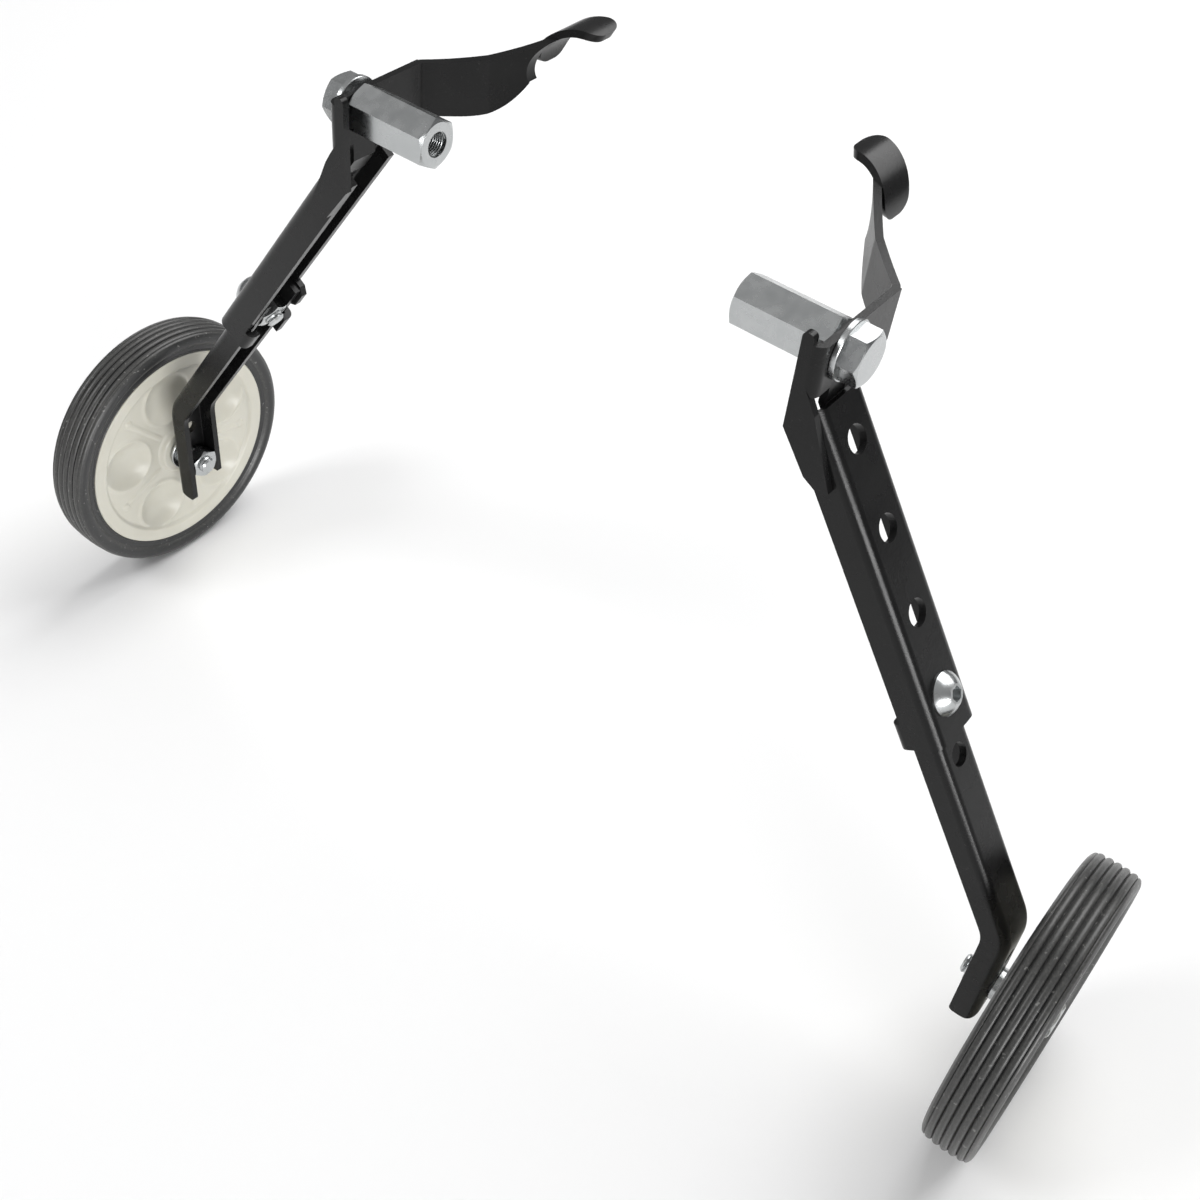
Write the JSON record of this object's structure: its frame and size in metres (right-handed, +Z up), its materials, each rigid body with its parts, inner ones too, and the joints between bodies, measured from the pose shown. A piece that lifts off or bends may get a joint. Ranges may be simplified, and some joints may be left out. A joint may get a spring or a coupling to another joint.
{
  "type": "bicycle training wheels",
  "caption": "Pair of bolt-on training wheels: black steel channel arms that telescope by bolt holes, with a chain stay prong, hex extension nuts and ribbed black tyres on white hubs.",
  "frame": {"origin": "middle of the bicycle's rear axle line, half way between the two units", "axes": "+X to the bicycle's right along the axle, +Y forward, +Z up"},
  "size_m": [0.5038, 0.153, 0.3172],
  "materials": {
    "black_coat": "semi-gloss black powder coat on sheet steel",
    "zinc_plate": "bright zinc plating",
    "tyre_rubber": "satin moulded rubber",
    "hub_plastic": "off-white milky moulded plastic",
    "sleeve_steel": "plain drawn steel tube"
  },
  "bodies": {
    "brackets": {"right_head_bracket": "black_coat", "right_upper_arm": "black_coat", "right_lower_arm": "black_coat", "right_extension_nut": "zinc_plate", "right_axle_bolt": "zinc_plate", "right_axle_washer": "zinc_plate", "right_arm_bolt": "zinc_plate", "right_arm_lock_washer": "zinc_plate", "right_arm_nut": "zinc_plate", "right_wheel_bolt": "zinc_plate", "right_wheel_outer_washer": "zinc_plate", "right_wheel_inner_washer": "zinc_plate", "right_wheel_spacer": "zinc_plate", "right_wheel_lock_washer": "zinc_plate", "right_wheel_nut": "zinc_plate", "left_head_bracket": "black_coat", "left_upper_arm": "black_coat", "left_lower_arm": "black_coat", "left_extension_nut": "zinc_plate", "left_axle_bolt": "zinc_plate", "left_axle_washer": "zinc_plate", "left_arm_bolt": "zinc_plate", "left_arm_lock_washer": "zinc_plate", "left_arm_nut": "zinc_plate", "left_wheel_bolt": "zinc_plate", "left_wheel_outer_washer": "zinc_plate", "left_wheel_inner_washer": "zinc_plate", "left_wheel_spacer": "zinc_plate", "left_wheel_lock_washer": "zinc_plate", "left_wheel_nut": "zinc_plate"},
    "right_wheel": {"right_tyre": "tyre_rubber", "right_wheel_hub": "hub_plastic", "right_hub_sleeve": "sleeve_steel"},
    "left_wheel": {"left_tyre": "tyre_rubber", "left_wheel_hub": "hub_plastic", "left_hub_sleeve": "sleeve_steel"}
  },
  "joints": [
    {"name": "right_wheel_spin", "type": "hinge", "parent": "brackets", "child": "right_wheel", "pos_m": [0.24137, 0, -0.2339], "axis": [1, 0, 0], "continuous": true},
    {"name": "left_wheel_spin", "type": "hinge", "parent": "brackets", "child": "left_wheel", "pos_m": [-0.24137, 0, -0.2339], "axis": [1, 0, 0], "continuous": true}
  ]
}
